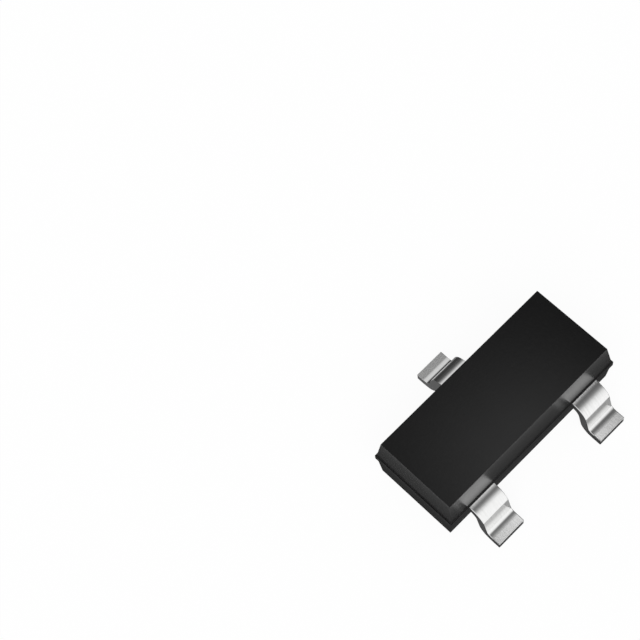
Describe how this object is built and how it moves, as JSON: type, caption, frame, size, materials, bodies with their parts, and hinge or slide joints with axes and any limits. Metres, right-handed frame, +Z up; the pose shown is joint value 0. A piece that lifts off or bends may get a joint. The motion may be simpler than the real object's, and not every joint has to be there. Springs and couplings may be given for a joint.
{
  "type": "tvs diode array",
  "caption": "Surface-mount surge protection diode array: black drafted moulded body with a parting ledge, formed leads on both long sides.",
  "frame": {"origin": "on the board, under the centre of the body", "axes": "+X along the body's length, +Y from the two front leads towards the single back lead, +Z up from the board"},
  "size_m": [0.003, 0.0024, 0.001],
  "materials": {
    "mold_compound": "fine matt black moulding compound",
    "tinned_lead": "bright tin plate on a copper alloy strip",
    "silver_adhesive": "cured silver-filled adhesive",
    "silicon": "opaque polished silicon",
    "gold_wire": "drawn gold wire"
  },
  "bodies": {
    "root": {"mold_body": "mold_compound", "lead_1": "tinned_lead", "lead_2": "tinned_lead", "lead_3": "tinned_lead", "die_attach": "silver_adhesive", "die": "silicon", "bond_wire_1": "gold_wire", "bond_wire_2": "gold_wire"}
  },
  "joints": []
}
